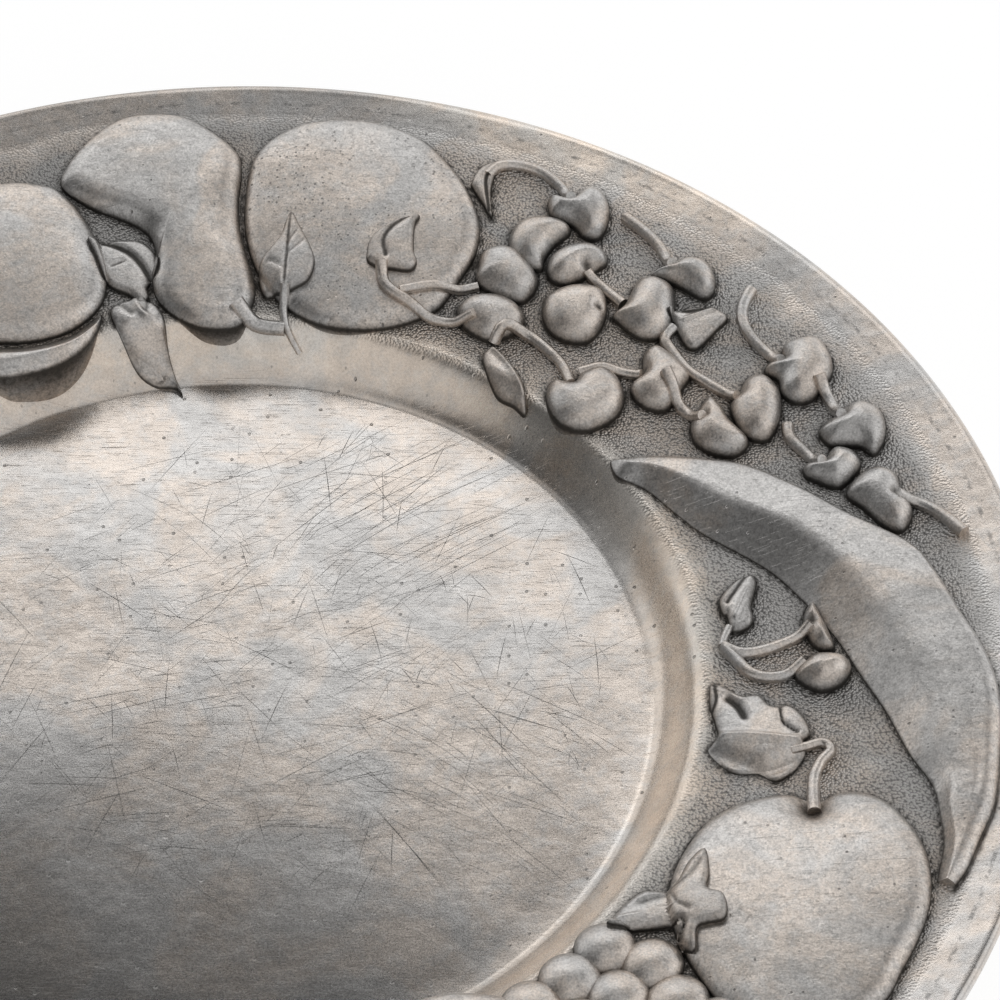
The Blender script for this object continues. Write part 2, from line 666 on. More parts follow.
def band(name, outer, inner, wall, shoulder, rise, crown, profile, grooves=(), swell=even):
    """Make one long casting between an outer and an inner edge, and remember its edges."""
    along, across = BAND_GRID
    outer = smooth_line(traced(outer, profile), along)
    inner = smooth_line(traced(inner, profile), along)
    outer_tree = tree_of(smooth_line(outer, 4 * along))
    inner_tree = tree_of(smooth_line(inner, 4 * along))
    tops = []
    hollows = []
    for row, (one, two) in enumerate(zip(outer, inner)):
        width, tall = swell(row / (along - 1))
        for step in range(across):
            spot = one.lerp(two, (1 - math.cos(math.pi * step / (across - 1))) / 2)
            from_outer = distance(outer_tree, spot)
            from_inner = distance(inner_tree, spot)
            inside = min(from_outer, from_inner)
            slope = min(1, from_inner / (wall * width))
            height = rise * tall * min(quarter_round(from_outer / shoulder), slope)
            height += crown * inside / wall
            lower, dark = carved(spot, grooves)
            tops.append((spot.x, spot.y, profile.rim(spot) + EDGE_LIFT + max(0, height - lower)))
            hollows.append(hollowness(dark, inside, FLANK / 2))
    faces = []
    for row in range(along - 1):
        for column in range(across - 1):
            one = row * across + column
            faces.append((one, one + across, one + across + 1, one + 1))
    loop = [row * across for row in range(along)]
    loop += [(along - 1) * across + column for column in range(1, across)]
    loop += [row * across + across - 1 for row in range(along - 2, -1, -1)]
    loop += [column for column in range(across - 2, 0, -1)]
    mesh = closed_casting(name, tops, hollows, faces, loop, profile, band_base(along, across))
    relief["edges"] += outer + inner
    return mesh


def linked(name, data):
    """Return a new object that is in the scene."""
    thing = bpy.data.objects.new(name, data)
    bpy.context.scene.collection.objects.link(thing)
    return thing


def link_casting(node, mesh, material):
    """Put a finished casting into the scene in place of its node."""
    piece = linked(node + "_casting", mesh)
    piece.data.materials.clear()
    piece.data.materials.append(material)
    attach(piece, "root")
    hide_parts(node)


def grown(name, group, values, mesh):
    """Run geometry nodes on a mesh and return the plain mesh that they give."""
    carrier = linked(name, mesh)
    modifier = carrier.modifiers.new("Grow", 'NODES')
    modifier.node_group = group
    for item in group.interface.items_tree:
        if item.in_out == 'INPUT' and item.name in values:
            modifier[item.identifier] = values[item.name]
    depsgraph = bpy.context.evaluated_depsgraph_get()
    result = bpy.data.meshes.new_from_object(carrier.evaluated_get(depsgraph))
    bpy.data.objects.remove(carrier, do_unlink=True)
    return result


def make_stem(name, stem, profile, material):
    """Return the mesh of a stem that lies over whatever is on its route."""
    knots = traced(stem.route, profile, STEM_OVER)
    length = sum((two - one).length for one, two in zip(knots, knots[1:]))
    count = max(6, round(length / STEM_STEP))
    line = smooth_line(knots, count)
    heights = [top_height(spot, profile) for spot in line]
    for _ in range(SOFTER_ROUNDS):
        softer = heights[:]
        for number in range(1, count - 1):
            around = (heights[number - 1] + heights[number + 1]) / 2
            softer[number] = max(heights[number] - STEM_SINK, (heights[number] + around) / 2)
        heights = softer
    points = [(spot.x, spot.y, height + STEM_LIFT) for spot, height in zip(line, heights)]
    path = bpy.data.meshes.new(name)
    path.from_pydata(points, [(n, n + 1) for n in range(count - 1)], [])
    thickness = [stem.root + (stem.tip - stem.root) * n / (count - 1) for n in range(count)]
    set_attribute(path, "thickness", thickness)
    mesh = grown(name, stem_tree(), {"Sides": STEM_SIDES, "Material": material}, path)
    set_attribute(mesh, "hollow", [])
    relief["edges"] += line
    return mesh


def joined(name, meshes):
    """Return one mesh that holds several, with their hollows."""
    points = []
    faces = []
    hollows = []
    for mesh in meshes:
        start = len(points)
        points += [vertex.co.copy() for vertex in mesh.vertices]
        faces += [tuple(start + n for n in face.vertices) for face in mesh.polygons]
        values = [0.0] * len(mesh.vertices)
        mesh.attributes["hollow"].data.foreach_get("value", values)
        hollows += values
    whole = smooth_mesh(name, points, faces)
    set_attribute(whole, "hollow", hollows)
    return whole


class Nodes:
    """Adds nodes to a tree, each with its settings first and then its sockets."""

    def __init__(self, tree):
        self.tree = tree

    def give(self, target, value):
        """Link a wire to a socket, or set the socket's own value."""
        if isinstance(value, Wire):
            self.tree.links.new(value.socket, target)
        else:
            target.default_value = value

    def add(self, kind, settings, sockets):
        """Add one node and return its outputs by name."""
        node = self.tree.nodes.new(kind)
        for name, value in settings.items():
            setattr(node, name, value)
        for name, value in sockets.items():
            self.give(next(s for s in node.inputs if name in (s.name, s.identifier) and s.enabled),
                      value)
        return {s.name: Wire(self, s) for s in node.outputs if s.enabled}

    def maths(self, operation, *values):
        """Add one Math node and return its result."""
        return self.add("ShaderNodeMath", {"operation": operation},
                        dict(zip(("Value", "Value_001"), values)))["Value"]

    def ramp(self, value, low, high, start=0.0, end=1.0):
        """Return a smooth step from start to end as a value goes from low to high."""
        return self.add("ShaderNodeMapRange", {"interpolation_type": 'SMOOTHSTEP'},
                        {"Value": value, "From Min": low, "From Max": high,
                         "To Min": start, "To Max": end})["Result"]

    def blend(self, share, one, two, kind='MIX'):
        """Mix two colours."""
        return self.add("ShaderNodeMix", {"data_type": 'RGBA', "blend_type": kind},
                        {"Factor": share, "A": one, "B": two})["Result"]

    def vector(self, x, y, z):
        """Join three values to a vector."""
        return self.add("ShaderNodeCombineXYZ", {}, {"X": x, "Y": y, "Z": z})["Vector"]

    def grey(self, value):
        """Return a colour that is as bright as a value."""
        return self.add("ShaderNodeCombineColor", {},
                        {"Red": value, "Green": value, "Blue": value})["Color"]


def operator(operation, swapped=False):
    """Return a method that adds the Math node for an operator or its reflected form."""
    def method(self, other):
        return self.nodes.maths(operation, *((other, self) if swapped else (self, other)))
    return method


class Wire:
    """A socket that takes part in arithmetic."""

    def __init__(self, nodes, socket):
        self.nodes = nodes
        self.socket = socket

    __add__ = operator('ADD')
    __radd__ = operator('ADD', True)
    __sub__ = operator('SUBTRACT')
    __rsub__ = operator('SUBTRACT', True)
    __mul__ = operator('MULTIPLY')
    __rmul__ = operator('MULTIPLY', True)
    __truediv__ = operator('DIVIDE')
    __pow__ = operator('POWER')
    most = operator('MAXIMUM')


class Growth(Nodes):
    """Geometry nodes with named inputs, whose result is real and painted."""

    def __init__(self, name, *sockets):
        super().__init__(bpy.data.node_groups.new(name, 'GeometryNodeTree'))
        face = self.tree.interface
        face.new_socket("Geometry", in_out='OUTPUT', socket_type='NodeSocketGeometry')
        for label, kind in (("Geometry", 'Geometry'), *sockets, ("Material", 'Material')):
            face.new_socket(label, in_out='INPUT', socket_type='NodeSocket' + kind)
        self.source = self.add("NodeGroupInput", {}, {})

    def tube(self, curve, sides, radius, scale):
        """Return a capped tube along a curve."""
        ring = self.add("GeometryNodeCurvePrimitiveCircle", {"mode": 'RADIUS'},
                        {"Resolution": sides, "Radius": radius})
        return self.add("GeometryNodeCurveToMesh", {},
                        {"Curve": curve, "Profile Curve": ring["Curve"],
                         "Scale": scale, "Fill Caps": True})["Mesh"]

    def finish(self, geometry):
        """Realise and paint the geometry, and return the finished tree."""
        real = self.add("GeometryNodeRealizeInstances", {}, {"Geometry": geometry})
        painted = self.add("GeometryNodeSetMaterial", {}, {"Geometry": real["Geometry"],
                                                           "Material": self.source["Material"]})
        self.add("NodeGroupOutput", {}, {"Geometry": painted["Geometry"]})
        return self.tree


def stem_tree():
    """Return the geometry nodes that run a round stem along the edges of a mesh."""
    name = "platter_stem"
    if name in bpy.data.node_groups:
        return bpy.data.node_groups[name]
    build = Growth(name, ("Sides", 'Int'))
    path = build.add("GeometryNodeMeshToCurve", {}, {"Mesh": build.source["Geometry"]})
    thickness = build.add("GeometryNodeInputNamedAttribute", {"data_type": 'FLOAT'},
                          {"Name": "thickness"})
    return build.finish(build.tube(path["Curve"], build.source["Sides"], 1.0,
                                   thickness["Attribute"]))


def opaque(colour):
    """Return a colour with full alpha."""
    return (*colour, 1.0)


class Pewter(Nodes):
    """The nodes that every pewter finish on the platter shares."""

    def __init__(self, name):
        self.material = bpy.data.materials.new(name)
        self.material.use_nodes = True
        super().__init__(self.material.node_tree)
        self.place = self.add("ShaderNodeTexCoord", {}, {})["Object"]
        parts = self.add("ShaderNodeSeparateXYZ", {}, {"Vector": self.place})
        self.x = parts["X"]
        self.y = parts["Y"]
        self.radius = (self.x * self.x + self.y * self.y) ** 0.5
        self.colours = bpy.context.scene.platter_finish

    def cloud(self, size, detail=3.0, roughness=0.55, distortion=0.0, place=None):
        """Return noise whose patches are about this size."""
        return self.add("ShaderNodeTexNoise", {},
                        {"Vector": place or self.place, "Scale": 1 / size, "Detail": detail,
                         "Roughness": roughness, "Distortion": distortion})["Fac"]

    def cells(self, size):
        """Return the outputs of a pattern whose points lie this far apart."""
        return self.add("ShaderNodeTexVoronoi", {"voronoi_dimensions": '2D'},
                        {"Vector": self.place, "Scale": 1 / size})

    def streaks(self, angle, length, width, low, high):
        """Return fine scratches that run at an angle, in degrees from +X."""
        turned = self.add("ShaderNodeMapping", {"vector_type": 'POINT'},
                          {"Vector": self.place, "Rotation": (0, 0, math.radians(-angle)),
                           "Scale": (1 / length, 1 / width, 1 / length)})["Vector"]
        return self.ramp(self.cloud(1.0, 2.0, 0.5, 0.1, turned), low, high)

    def pits(self, size, reach, share):
        """Return small dark pits in a share of the cells of a grid."""
        cells = self.cells(size)
        chosen = self.add("ShaderNodeSeparateColor", {}, {"Color": cells["Color"]})["Red"]
        spot = self.ramp(cells["Distance"], reach * 0.4, reach, 1.0, 0.0)
        return spot * self.ramp(chosen, 1 - share, 1 - share + 0.05)

    def ring(self, radius):
        """Return the distance from a circle about the middle of the platter."""
        return self.maths('ABSOLUTE', self.radius - radius)

    def attribute(self, name):
        """Return a value that is stored on the points of the mesh."""
        return self.add("ShaderNodeAttribute", {"attribute_name": name}, {})["Fac"]

    def patina(self, speckle=0.26):
        """Return the mottled colour that the bare pewter has."""
        cool = opaque(self.colours.cool)
        patches = self.ramp(self.cloud(28 * MM, 4.0, 0.55, 0.8), 0.39, 0.56)
        colour = self.blend(patches, cool, opaque(self.colours.warm))
        mottle = self.cloud(4.5 * MM, 5.0, 0.7, 0.4)
        colour = self.blend(self.ramp(mottle, 0.44, 0.62) * 0.5, colour, cool)
        worn = self.ramp(self.cloud(11 * MM, 4.0, 0.7, 0.5), 0.35, 0.65, 0.91, 1.08)
        grain = self.cloud(0.5 * MM, 3.0, 0.7)
        lit = self.ramp(grain, 0.25, 0.75, 1 - speckle, 1 + 0.9 * speckle) * worn
        return self.blend(1.0, colour, self.grey(lit), 'MULTIPLY')

    def tarnished(self, colour, share):
        """Return a colour with this share of the old skin over it."""
        return self.blend(share, colour, opaque(self.colours.tarnish))

    def soiled(self, colour, skin, spread, low, high, share):
        """Return a colour that is dirty in the hollows, and how deep in one a place is."""
        seam = self.ramp(self.attribute("hollow") + (skin - 0.5) * spread, low, high)
        return self.blend(seam * share, colour, opaque(self.colours.dirt)), seam

    def close(self, colour, roughness, height, strength, distance):
        """Link the finished colour, roughness and surface height to the shader."""
        inputs = self.tree.nodes["Principled BSDF"].inputs
        bump = self.add("ShaderNodeBump", {},
                        {"Height": height, "Strength": strength, "Distance": distance})
        for name, value in (("Metallic", 1.0), ("Base Color", colour), ("Roughness", roughness),
                            ("Normal", bump["Normal"])):
            self.give(inputs[name], value)
        return self.material


def fruit_pewter(name, pitted=0.0):
    """Smooth worn pewter of the large castings, dark in its seams."""
    metal = Pewter(name)
    cluster = metal.ramp(metal.cloud(16 * MM, 2.0), 0.42, 0.62, 0.15, 1.0)
    pits = metal.pits(2.2 * MM, reach=0.17, share=0.10 + pitted) * cluster
    fine = metal.pits(1.1 * MM, reach=0.24, share=0.12 + pitted) * cluster
    scars = metal.streaks(25, 9 * MM, 0.22 * MM, low=0.66, high=0.74)
    skin = metal.cloud(1.3 * MM, 4.0, 0.75)
    colour = metal.tarnished(metal.patina(), metal.ramp(skin, 0.46, 0.68) * 0.36)
    colour = metal.tarnished(colour, pits.most(fine * 0.7).most(scars * 0.45) * 0.75)
    colour, seam = metal.soiled(colour, skin, spread=0.4, low=0.18, high=0.95, share=0.92)
    grain = metal.cloud(0.6 * MM, 3.0, 0.6)
    dents = metal.cloud(7 * MM, 2.0)
    height = grain * 0.35 + dents * 1.4 - pits * 1.3 - scars * 0.3
    roughness = 0.26 + 0.16 * grain + 0.25 * seam
    return metal.close(colour, roughness, height, strength=0.7, distance=0.16 * MM)


def small_pewter(name):
    """Pewter of the cherries, leaves and stems, with a matt cast skin."""
    metal = Pewter(name)
    skin = metal.cloud(1.1 * MM, 4.0, 0.7)
    colour = metal.tarnished(metal.patina(), metal.ramp(skin, 0.52, 0.74) * 0.38)
    colour, seam = metal.soiled(colour, skin, spread=0.4, low=0.15, high=0.9, share=0.92)
    grain = metal.cloud(0.5 * MM, 3.0, 0.6)
    height = grain * 0.5 + skin * 0.8
    roughness = 0.24 + 0.2 * grain + 0.25 * seam
    return metal.close(colour, roughness, height, strength=0.7, distance=0.14 * MM)


def dish_pewter(name, profile):
    """Pewter of the dish: brushed and scratched well, smooth rim, stippled ground."""
    metal = Pewter(name)
    in_well = metal.ramp(metal.radius, profile.well - 2 * MM, profile.well + 6 * MM, 1.0, 0.0)
    ground = metal.attribute("ground")

    # Tarnish at the near corner of the well, and a rim that is rubbed bright and dulls far left
    worn = metal.cloud(55 * MM, 2.0)
    corner = metal.x * -4.2 + metal.y * -9.5
    tarnish = metal.ramp(corner + worn * 0.5, 0.20, 1.25) * in_well
    colour = metal.tarnished(metal.patina(0.16), tarnish * 0.92)
    crest = metal.ramp(metal.ring(profile.border_inner - 4 * MM), 11 * MM, 2 * MM)
    right = metal.ramp(metal.x * 0.55 + metal.y, 0.183, 0.197) * metal.ramp(worn, 0.30, 0.55)
    bright = (crest * 0.85).most(right * 0.7 * (1 - in_well))
    colour = metal.blend(bright, colour, POLISH, 'MULTIPLY')
    dull = metal.ramp(metal.y - metal.x * 0.4, 0.13, 0.165)
    colour = metal.tarnished(colour, dull * 0.34)

    # Fine scratches and pits, and the pitted line near the lip
    marks = metal.streaks(38, 11 * MM, 0.13 * MM, low=0.69, high=0.76)
    for angle, length, width in ((-50, 8, 0.12), (72, 6, 0.11), (20, 12, 0.14), (-15, 5, 0.1)):
        marks = marks.most(metal.streaks(angle, length * MM, width * MM, low=0.70, high=0.77))
    marks = marks * in_well * metal.ramp(metal.cloud(40 * MM, 2.0), 0.3, 0.6, 0.45, 1.0)
    specks = metal.pits(1.6 * MM, reach=0.22, share=0.07)
    pits = metal.pits(4.0 * MM, reach=0.12, share=0.12)
    line = metal.ramp(metal.ring(PLATTER_RADIUS - 6.5 * MM), 0.7 * MM, 0.2 * MM)
    line = line * metal.ramp(metal.cloud(2.5 * MM, 4.0, 0.7), 0.46, 0.62)
    dark = (marks * 0.62).most(specks * 0.45).most(pits * 0.6).most(line * 0.6)
    colour = metal.tarnished(colour, dark)

    # The punched ground between the fruit, and the dirt along its castings
    bead = metal.cells(0.6 * MM)["Distance"]
    colour = metal.tarnished(colour, metal.ramp(bead, 0.36, 0.66) * ground * 0.70)
    skin = metal.cloud(1.3 * MM, 4.0, 0.7)
    colour, seam = metal.soiled(colour, skin, spread=0.5, low=0.10, high=1.0, share=0.90)
    grain = metal.cloud(0.5 * MM, 3.0, 0.6)
    dents = metal.cloud(9 * MM, 2.0)
    height = grain * 0.16 + dents * 1.2 - marks * 0.5 - pits * 0.8 - bead * ground * 3.4
    roughness = 0.21 + 0.12 * grain + 0.10 * marks + 0.16 * ground + 0.15 * seam
    return metal.close(colour, roughness, height, strength=0.75, distance=0.16 * MM)


def scratch_pewter(name):
    """The matt bottom of a knife mark."""
    metal = Pewter(name)
    grain = metal.cloud(1.5 * MM, 3.0, 0.6)
    colour = metal.blend(metal.ramp(grain, 0.4, 0.7, 0.0, 0.35),
                         opaque(metal.colours.tarnish), opaque(metal.colours.cool))
    roughness = 0.7 + 0.1 * grain
    return metal.close(colour, roughness, grain, strength=0.2, distance=0.05 * MM)


def shared_material(name, make, *values):
    """Return a material by name, made the first time that it is asked for."""
    return bpy.data.materials.get(name) or make(name, *values)


class PLATTER_OT_large_fruit(Operator):
    """Cast the peach, pear, orange and apple of both halves"""
    bl_idname = "platter.large_fruit"
    bl_label = "Large Fruit"

    # The dent round the apple's stem: place, width and depth
    DENT = (APPLE_DENT, 4.0 * MM, 3.2 * MM)

    def execute(self, context):
        smooth = shared_material("worn_pewter", fruit_pewter)
        pitted = shared_material("pitted_pewter", fruit_pewter, 0.40)
        fruit = (("peach", PEACH, None, smooth), ("pear", PEAR, PEAR_STALK, smooth),
                 ("orange", ORANGE, None, pitted), ("apple", APPLE, APPLE_STEM, smooth))
        for profile in halves():
            for name, casting, stem, material in fruit:
                dents = []
                if name == "apple":
                    place, width, depth = self.DENT
                    dents.append((traced((place,), profile)[0], width, depth))
                mesh = raised(name, traced(casting.edge, profile), LARGE_GRID, casting[1:],
                              profile, dents=dents)
                keep_surface(mesh)
                if stem:
                    stalk = make_stem(name + "_stem", stem, profile, material)
                    mesh = joined(name, [mesh, stalk])
                link_casting("%s_%s" % (name, profile.mark), mesh, material)
        return {'FINISHED'}


class PLATTER_OT_long_fruit(Operator):
    """Cast the melon slice and the banana of both halves"""
    bl_idname = "platter.long_fruit"
    bl_label = "Banana and Melon Slice"

    def execute(self, context):
        smooth = shared_material("worn_pewter", fruit_pewter)
        facet = (Groove(BANANA_FACET, 0.5 * MM, 0.2 * MM),)
        for profile in halves():
            melon = band("melon_slice", MELON_OUTER, MELON_INNER, MELON_SHOULDER,
                         MELON_SHOULDER, MELON_RISE, 0, profile)
            keep_surface(melon)
            link_casting("melon_slice_" + profile.mark, melon, smooth)
            banana = band("banana", BANANA_OUTER, BANANA_INNER, BANANA_WALL, BANANA_SHOULDER,
                          BANANA_RISE, BANANA_CROWN, profile, groove_trees(facet, profile),
                          banana_swell)
            keep_surface(banana)
            link_casting("banana_" + profile.mark, banana, smooth)
        return {'FINISHED'}


class PLATTER_OT_cherries(Operator):
    """Cast the cherries with their stems, and the far half's plums"""
    bl_idname = "platter.cherries"
    bl_label = "Cherries and Plums"

    # A dent's width and depth where a stem leaves, and the pit in the ripest cherry
    STEM_DENT = (1.7 * MM, 1.6 * MM)
    PIT_DENT = (1.1 * MM, 1.3 * MM)
    CREASE = (1.1 * MM, 0.45 * MM)

    def execute(self, context):
        material = shared_material("cast_pewter", small_pewter)
        for profile in halves():
            for number in CHERRIES if profile.mark == "a" else FAR_CHERRIES:
                self.make_cherry(number, profile, material)
        self.make_plums(DishProfile())
        return {'FINISHED'}

    def make_cherry(self, number, profile, material):
        """Cast one cherry with its stem, and the narrow leaf beside the first."""
        route = CHERRY_STEMS.get(number)
        dents = []
        if route:
            dents.append((traced(route[:1], profile)[0], *self.STEM_DENT))
        if number == PITTED_CHERRY:
            dents.append((traced((CHERRY_PIT,), profile)[0], *self.PIT_DENT))
        body = raised("cherry", traced(CHERRIES[number], profile), SMALL_GRID, CHERRY_FORM,
                      profile, dents=dents)
        keep_surface(body)
        meshes = [body]
        if route:
            stem = Stem(route, CHERRY_STEM_TIP, CHERRY_STEM_ROOT)
            meshes.append(make_stem("cherry_stem", stem, profile, material))
        if number == LEAFY_CHERRY:
            rib = groove_trees((Groove(LEAF_NARROW_RIB, 0.6 * MM, 0.6 * MM),), profile)
            meshes.append(raised("narrow_leaf", traced(LEAF_NARROW, profile), LEAF_GRID,
                                 NARROW_LEAF_FORM, profile, grooves=rib))
        node = "cherry_%s%02d" % (profile.mark, number)
        link_casting(node, joined(node, meshes), material)

    def make_plums(self, profile):
        """Cast the plums of the far half."""
        material = shared_material("worn_pewter", fruit_pewter)
        for number, (angle, inset, length, width, heading) in enumerate(PLUMS, 1):
            turn = math.radians(angle + 180)
            tilt = turn + math.radians(heading)
            centre = polar(turn, PLATTER_RADIUS - inset * MM)
            line = [centre + polar(tilt, share * length * MM / 2) for share in (-0.2, 0.2, 0.6, 1.0)]
            crease = ((tree_of(smooth_line(line, GROOVE_STEPS)), *self.CREASE),)
            mesh = raised("plum", oval(centre, length * MM, width * MM, tilt, 16), LARGE_GRID,
                          PLUM_FORM, profile, grooves=crease)
            keep_surface(mesh)
            link_casting("plum_b%d" % number, mesh, material)


class PLATTER_OT_grapes(Operator):
    """Cast the bunches of grapes"""
    bl_idname = "platter.grapes"
    bl_label = "Grapes"

    def execute(self, context):
        material = shared_material("cast_pewter", small_pewter)
        for profile in halves():
            grapes = []
            for row, (start, count) in enumerate(GRAPE_ROWS):
                reach = PLATTER_RADIUS - GRAPE_FIRST_INSET + row * GRAPE_ROW_PITCH
                for number in range(count):
                    turn = math.radians(start) - number * GRAPE_PITCH / reach
                    edge = oval(polar(turn, reach) * profile.side, GRAPE_DIAMETER,
                                GRAPE_DIAMETER, 0, 12)
                    grapes.append(raised("grape", edge, GRAPE_GRID, GRAPE_FORM, profile))
            mesh = joined("grape_bunch", grapes)
            keep_surface(mesh)
            link_casting("grape_bunch_" + profile.mark, mesh, material)
        return {'FINISHED'}


class PLATTER_OT_leaves(Operator):
    """Cast the leaves, which drape over the fruit, and the bud on the orange"""
    bl_idname = "platter.leaves"
    bl_label = "Leaves and Bud"

    def execute(self, context):
        material = shared_material("cast_pewter", small_pewter)
        for profile in halves():
            for name in LEAVES:
                if profile.mark == "a" or name != NEAR_LEAF:
                    self.make_leaf(name, profile, material)
        return {'FINISHED'}

    def make_leaf(self, name, profile, material):
        """Cast one leaf with its ribs and stems."""
        def ground(spot):
            return top_height(spot, profile)
        edge, grooves = LEAVES[name]
        mesh = raised("leaf", traced(edge, profile, LEAF_OVER), LEAF_GRID, LEAF_FORM, profile,
                      ground, groove_trees(grooves, profile))
        keep_surface(mesh)
        meshes = [mesh]
        for stem in LEAF_STEMS.get(name, ()):
            meshes.append(make_stem("stem", stem, profile, material))
        node = "%s_%s" % (name, profile.mark)
        link_casting(node, joined(node, meshes), material)


class PLATTER_OT_dish(Operator):
    """Turn the dish, with its well, booge, rim and lip"""
    bl_idname = "platter.dish"
    bl_label = "Dish"

    SIDES = 600
    RIM_RINGS = 76
    BOOGE_RINGS = 16
    WELL_RINGS = 14
    LIP_RINGS = 12
    UNDER_RINGS = 14

    # Dirt along the castings: width of the seam, reach and share beyond it, share on the booge
    SEAM_WIDTH = 0.75 * MM
    SOIL_REACH = 2.4 * MM
    SOIL_SHARE = 0.50
    BOOGE_SHARE = 0.35

    def execute(self, context):
        profile = DishProfile()
        section = self.section(profile)
        edges = tree_of(relief["edges"])
        points = [(0, 0, profile.wall)]
        hollows = [0]
        grounds = [0]
        for radius, height, upper in section:
            for side in range(self.SIDES):
                spot = polar(2 * math.pi * side / self.SIDES, radius)
                hollow = 0
                ground = 0
                lift = 0
                if upper:
                    lift = profile.unevenness(spot)
                    near = distance(edges, spot) if radius > profile.well else 1
                    hollow = max(math.exp(-(near / self.SEAM_WIDTH) ** 2),
                                 self.SOIL_SHARE * math.exp(-near / self.SOIL_REACH))
                    if radius < profile.border_inner - 1 * MM:
                        hollow *= self.BOOGE_SHARE
                    ground = self.stippled(near, radius, profile)
                points.append((spot.x, spot.y, height + lift))
                hollows.append(hollow)
                grounds.append(ground)
        points.append((0, 0, 0))
        faces = ring_faces(self.SIDES, len(section), closed=True)
        mesh = smooth_mesh("dish_casting", points, faces)
        set_attribute(mesh, "hollow", hollows)
        set_attribute(mesh, "ground", grounds)
        link_casting("dish", mesh, dish_pewter("turned_pewter", profile))
        return {'FINISHED'}

    def stippled(self, near, radius, profile):
        """Return how much of the punched ground shows at a place."""
        reach = 1 - clamped((near - 5 * MM) / (9 * MM))
        inner = clamped((radius - profile.border_inner + 3 * MM) / (5 * MM))
        outer = clamped((PLATTER_RADIUS - 9 * MM - radius) / (8 * MM))
        return reach * inner * outer

    def section(self, profile):
        """Return the rings of the dish as radius, height and whether each is on top."""
        width = profile.lip_centre - profile.border_inner
        rings = [profile.well * step / self.WELL_RINGS for step in range(1, self.WELL_RINGS)]
        rings += [profile.well + profile.booge * step / self.BOOGE_RINGS
                  for step in range(self.BOOGE_RINGS)]
        rings += [profile.border_inner + width * step / self.RIM_RINGS
                  for step in range(self.RIM_RINGS)]
        section = [(radius, profile.height(radius), True) for radius in rings]
        middle = PLATTER_HEIGHT - profile.lip
        for step in range(self.LIP_RINGS + 1):
            turn = math.pi / 2 - math.pi * step / self.LIP_RINGS
            section.append((profile.lip_centre + profile.lip * math.cos(turn),
                            middle + profile.lip * math.sin(turn), False))
        under = [profile.lip_centre - width * (step + 1) / (self.UNDER_RINGS + 1)
                 for step in range(self.UNDER_RINGS)]
        under += [profile.border_inner - profile.booge * step / self.BOOGE_RINGS
                  for step in range(self.BOOGE_RINGS + 1)]
        section += [(radius, profile.height(radius) - profile.wall, False) for radius in under]
        section.append((profile.well / 2, 0, False))
        return section


def scratch_tree():
    """Return the geometry nodes that strew curved marks over a round place."""
    build = Growth("platter_scratches", ("Count", 'Int'), ("Seed", 'Int'), ("Middle", 'Vector'),
                   ("Reach", 'Float'), ("Length", 'Float'), ("Width", 'Float'),
                   ("Lowest Turn", 'Float'), ("Highest Turn", 'Float'))
    source = build.source

    def chance(low, high, seed):
        """Return a random number for each mark."""
        return build.add("FunctionNodeRandomValue", {"data_type": 'FLOAT'},
                         {"Min": low, "Max": high, "Seed": source["Seed"] + seed})["Value"]

    turn = chance(0.0, 2 * math.pi, 1)
    reach = chance(0.0, 1.0, 2) ** 0.5 * source["Reach"]
    offset = build.vector(reach * build.maths('COSINE', turn), reach * build.maths('SINE', turn),
                          0.0)
    place = build.add("ShaderNodeVectorMath", {"operation": 'ADD'},
                      {"Vector": offset, "Vector_001": source["Middle"]})["Vector"]
    points = build.add("GeometryNodePoints", {}, {"Count": source["Count"], "Position": place})
    mark = build.add("GeometryNodeCurveQuadraticBezier", {},
                     {"Resolution": 8, "Start": (-0.5, 0, 0), "Middle": (0, 0.4 * MM, 0),
                      "End": (0.5, 0, 0)})
    along = build.add("GeometryNodeSplineParameter", {}, {})["Factor"]
    taper = build.maths('SINE', along * math.pi) * 0.9 + 0.1
    tube = build.tube(mark["Curve"], 4, source["Width"] / 2, taper)
    angle = chance(source["Lowest Turn"], source["Highest Turn"], 3)
    length = (0.18 + 0.82 * chance(0.0, 1.0, 4) ** 2.2) * source["Length"]
    girth = 0.35 + 0.65 * chance(0.0, 1.0, 5) ** 2
    marks = build.add("GeometryNodeInstanceOnPoints", {},
                      {"Points": points["Points"], "Instance": tube,
                       "Rotation": build.vector(0.0, 0.0, angle),
                       "Scale": build.vector(length, girth, girth)})
    return build.finish(marks["Instances"])


